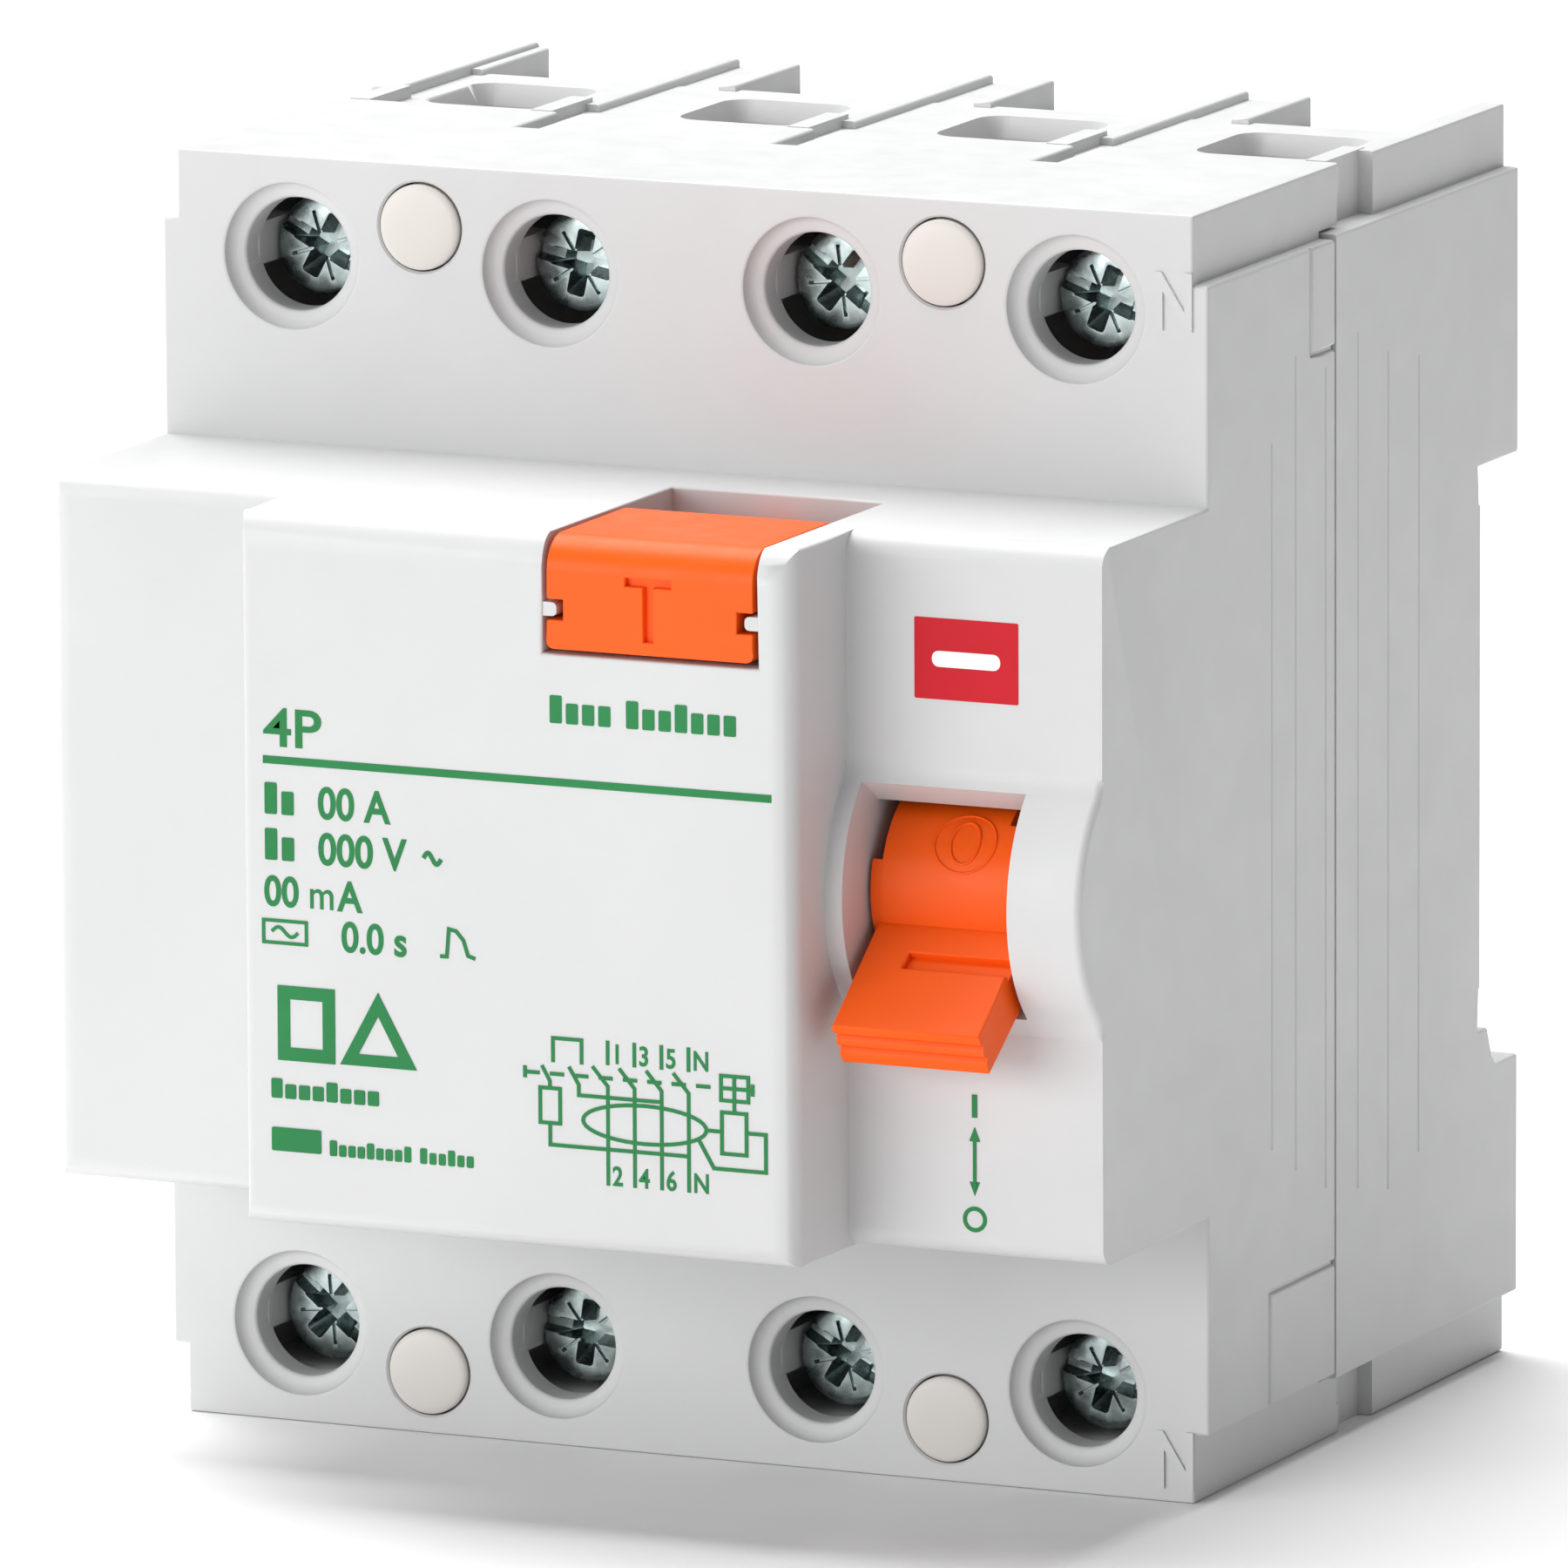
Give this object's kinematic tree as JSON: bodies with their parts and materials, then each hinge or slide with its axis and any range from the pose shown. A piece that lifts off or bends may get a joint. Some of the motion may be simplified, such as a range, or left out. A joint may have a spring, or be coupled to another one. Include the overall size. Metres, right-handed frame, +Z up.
{
  "type": "residual current device",
  "caption": "Four-pole residual current device for a 35 mm DIN rail, with screw clamps at top and bottom, an orange toggle and a test button.",
  "frame": {"origin": "centre of the 35 mm rail seat in the back, at mid height and mid width", "axes": "+X to the right across the poles, +Y back into the wall, +Z up, the front faces -Y"},
  "size_m": [0.072, 0.0749, 0.0816],
  "materials": {
    "case_grey": "fine matt moulded, light grey",
    "signal_orange": "satin moulded, orange",
    "plug_white": "satin, warm white",
    "latch_black": "satin",
    "inner_black": "satin",
    "zinc_screw": "zinc plated, blue passivated",
    "zinc_clamp": "zinc plated",
    "steel": "plain",
    "copper": "bare copper",
    "core_tape": "taped core",
    "enamelled_wire": "glossy enamel",
    "resistor_body": "lacquered"
  },
  "bodies": {
    "case": {"front_housing": "case_grey", "base_housing": "case_grey", "upper_busbar_1": "copper", "upper_busbar_2": "copper", "upper_busbar_3": "copper", "upper_busbar_4": "copper", "case_rivet_upper_left": "steel", "plug_cap_upper_left": "plug_white", "case_rivet_upper_right": "steel", "plug_cap_upper_right": "plug_white", "lower_busbar_1": "copper", "lower_busbar_2": "copper", "lower_busbar_3": "copper", "lower_busbar_4": "copper", "case_rivet_lower_left": "steel", "plug_cap_lower_left": "plug_white", "case_rivet_lower_right": "steel", "plug_cap_lower_right": "plug_white", "toggle_pivot_pin": "steel", "test_contact_spring": "steel", "trip_lever_pin": "steel", "contact_bar_spring": "steel", "trip_relay": "inner_black", "primary_conductor_1": "copper", "primary_conductor_2": "copper", "primary_conductor_3": "copper", "primary_conductor_4": "copper", "toroid_core": "core_tape", "secondary_winding": "enamelled_wire", "test_resistor": "resistor_body"},
    "toggle": {"toggle_handle": "signal_orange"},
    "toggle_link": {"toggle_link": "steel"},
    "contact_bar": {"contact_bar": "inner_black", "moving_contact_1": "copper", "moving_contact_2": "copper", "moving_contact_3": "copper", "moving_contact_4": "copper"},
    "test_button": {"test_button": "signal_orange"},
    "relay_plunger": {"relay_plunger": "steel"},
    "trip_lever": {"trip_lever": "steel"},
    "din_latch_left": {"din_latch_left": "latch_black"},
    "din_latch_right": {"din_latch_right": "latch_black"},
    "terminal_screw_upper_1": {"terminal_screw_upper_1": "zinc_screw"},
    "terminal_clamp_upper_1": {"terminal_clamp_upper_1": "zinc_clamp"},
    "terminal_screw_upper_2": {"terminal_screw_upper_2": "zinc_screw"},
    "terminal_clamp_upper_2": {"terminal_clamp_upper_2": "zinc_clamp"},
    "terminal_screw_upper_3": {"terminal_screw_upper_3": "zinc_screw"},
    "terminal_clamp_upper_3": {"terminal_clamp_upper_3": "zinc_clamp"},
    "terminal_screw_upper_4": {"terminal_screw_upper_4": "zinc_screw"},
    "terminal_clamp_upper_4": {"terminal_clamp_upper_4": "zinc_clamp"},
    "terminal_screw_lower_1": {"terminal_screw_lower_1": "zinc_screw"},
    "terminal_clamp_lower_1": {"terminal_clamp_lower_1": "zinc_clamp"},
    "terminal_screw_lower_2": {"terminal_screw_lower_2": "zinc_screw"},
    "terminal_clamp_lower_2": {"terminal_clamp_lower_2": "zinc_clamp"},
    "terminal_screw_lower_3": {"terminal_screw_lower_3": "zinc_screw"},
    "terminal_clamp_lower_3": {"terminal_clamp_lower_3": "zinc_clamp"},
    "terminal_screw_lower_4": {"terminal_screw_lower_4": "zinc_screw"},
    "terminal_clamp_lower_4": {"terminal_clamp_lower_4": "zinc_clamp"}
  },
  "joints": [
    {"name": "toggle_turn", "type": "hinge", "parent": "case", "child": "toggle", "pos_m": [0.0259, -0.0544, 0], "axis": [-1, 0, 0], "range_deg": [0, 70]},
    {"name": "toggle_link_turn", "type": "hinge", "parent": "toggle", "child": "toggle_link", "pos_m": [0.0299, -0.0503, 0.00287], "axis": [-1, 0, 0], "range_deg": [-70.5, 0]},
    {"name": "contact_bar_turn", "type": "hinge", "parent": "case", "child": "contact_bar", "pos_m": [0, -0.024, 0.016], "axis": [1, 0, 0], "range_deg": [0, 12.7], "deforming": ["contact_bar_spring"]},
    {"name": "test_button_press", "type": "slide", "parent": "case", "child": "test_button", "axis": [0, 1, 0], "range_m": [0, 0.002], "stiffness_N_per_m": 600, "springref_m": -0.0015},
    {"name": "relay_plunger_lift", "type": "slide", "parent": "case", "child": "relay_plunger", "axis": [0, 0, 1], "range_m": [0, 0.001]},
    {"name": "trip_lever_turn", "type": "hinge", "parent": "case", "child": "trip_lever", "pos_m": [0.0218, -0.033, -0.001], "axis": [-1, 0, 0], "range_deg": [0, 7.2]},
    {"name": "din_latch_left_pull", "type": "slide", "parent": "case", "child": "din_latch_left", "axis": [0, 0, -1], "range_m": [0, 0.0045], "stiffness_N_per_m": 800, "springref_m": -0.003},
    {"name": "din_latch_right_pull", "type": "slide", "parent": "case", "child": "din_latch_right", "axis": [0, 0, -1], "range_m": [0, 0.0045], "stiffness_N_per_m": 800, "springref_m": -0.003},
    {"name": "screw_upper_1_turn", "type": "hinge", "parent": "case", "child": "terminal_screw_upper_1", "pos_m": [-0.027, -0.0393, 0.0344], "axis": [0, 1, 0], "range_deg": [0, 3691]},
    {"name": "clamp_upper_1_draw", "type": "slide", "parent": "case", "child": "terminal_clamp_upper_1", "axis": [0, -1, 0], "range_m": [0, 0.0082]},
    {"name": "screw_upper_2_turn", "type": "hinge", "parent": "case", "child": "terminal_screw_upper_2", "pos_m": [-0.009, -0.0393, 0.0344], "axis": [0, 1, 0], "range_deg": [0, 3691]},
    {"name": "clamp_upper_2_draw", "type": "slide", "parent": "case", "child": "terminal_clamp_upper_2", "axis": [0, -1, 0], "range_m": [0, 0.0082]},
    {"name": "screw_upper_3_turn", "type": "hinge", "parent": "case", "child": "terminal_screw_upper_3", "pos_m": [0.009, -0.0393, 0.0344], "axis": [0, 1, 0], "range_deg": [0, 3691]},
    {"name": "clamp_upper_3_draw", "type": "slide", "parent": "case", "child": "terminal_clamp_upper_3", "axis": [0, -1, 0], "range_m": [0, 0.0082]},
    {"name": "screw_upper_4_turn", "type": "hinge", "parent": "case", "child": "terminal_screw_upper_4", "pos_m": [0.027, -0.0393, 0.0344], "axis": [0, 1, 0], "range_deg": [0, 3691]},
    {"name": "clamp_upper_4_draw", "type": "slide", "parent": "case", "child": "terminal_clamp_upper_4", "axis": [0, -1, 0], "range_m": [0, 0.0082]},
    {"name": "screw_lower_1_turn", "type": "hinge", "parent": "case", "child": "terminal_screw_lower_1", "pos_m": [-0.027, -0.0393, -0.0344], "axis": [0, 1, 0], "range_deg": [0, 3691]},
    {"name": "clamp_lower_1_draw", "type": "slide", "parent": "case", "child": "terminal_clamp_lower_1", "axis": [0, -1, 0], "range_m": [0, 0.0082]},
    {"name": "screw_lower_2_turn", "type": "hinge", "parent": "case", "child": "terminal_screw_lower_2", "pos_m": [-0.009, -0.0393, -0.0344], "axis": [0, 1, 0], "range_deg": [0, 3691]},
    {"name": "clamp_lower_2_draw", "type": "slide", "parent": "case", "child": "terminal_clamp_lower_2", "axis": [0, -1, 0], "range_m": [0, 0.0082]},
    {"name": "screw_lower_3_turn", "type": "hinge", "parent": "case", "child": "terminal_screw_lower_3", "pos_m": [0.009, -0.0393, -0.0344], "axis": [0, 1, 0], "range_deg": [0, 3691]},
    {"name": "clamp_lower_3_draw", "type": "slide", "parent": "case", "child": "terminal_clamp_lower_3", "axis": [0, -1, 0], "range_m": [0, 0.0082]},
    {"name": "screw_lower_4_turn", "type": "hinge", "parent": "case", "child": "terminal_screw_lower_4", "pos_m": [0.027, -0.0393, -0.0344], "axis": [0, 1, 0], "range_deg": [0, 3691]},
    {"name": "clamp_lower_4_draw", "type": "slide", "parent": "case", "child": "terminal_clamp_lower_4", "axis": [0, -1, 0], "range_m": [0, 0.0082]}
  ],
  "couplings": [
    {"joint": "toggle_link_turn", "follows": "toggle_turn", "ratio": -1},
    {"joint": "contact_bar_turn", "follows": "toggle_turn", "ratio": 0.18},
    {"joint": "trip_lever_turn", "follows": "relay_plunger_lift", "rad_per_m": 125},
    {"joint": "screw_upper_1_turn", "follows": "clamp_upper_1_draw", "rad_per_m": 7854},
    {"joint": "screw_upper_2_turn", "follows": "clamp_upper_2_draw", "rad_per_m": 7854},
    {"joint": "screw_upper_3_turn", "follows": "clamp_upper_3_draw", "rad_per_m": 7854},
    {"joint": "screw_upper_4_turn", "follows": "clamp_upper_4_draw", "rad_per_m": 7854},
    {"joint": "screw_lower_1_turn", "follows": "clamp_lower_1_draw", "rad_per_m": 7854},
    {"joint": "screw_lower_2_turn", "follows": "clamp_lower_2_draw", "rad_per_m": 7854},
    {"joint": "screw_lower_3_turn", "follows": "clamp_lower_3_draw", "rad_per_m": 7854},
    {"joint": "screw_lower_4_turn", "follows": "clamp_lower_4_draw", "rad_per_m": 7854}
  ]
}
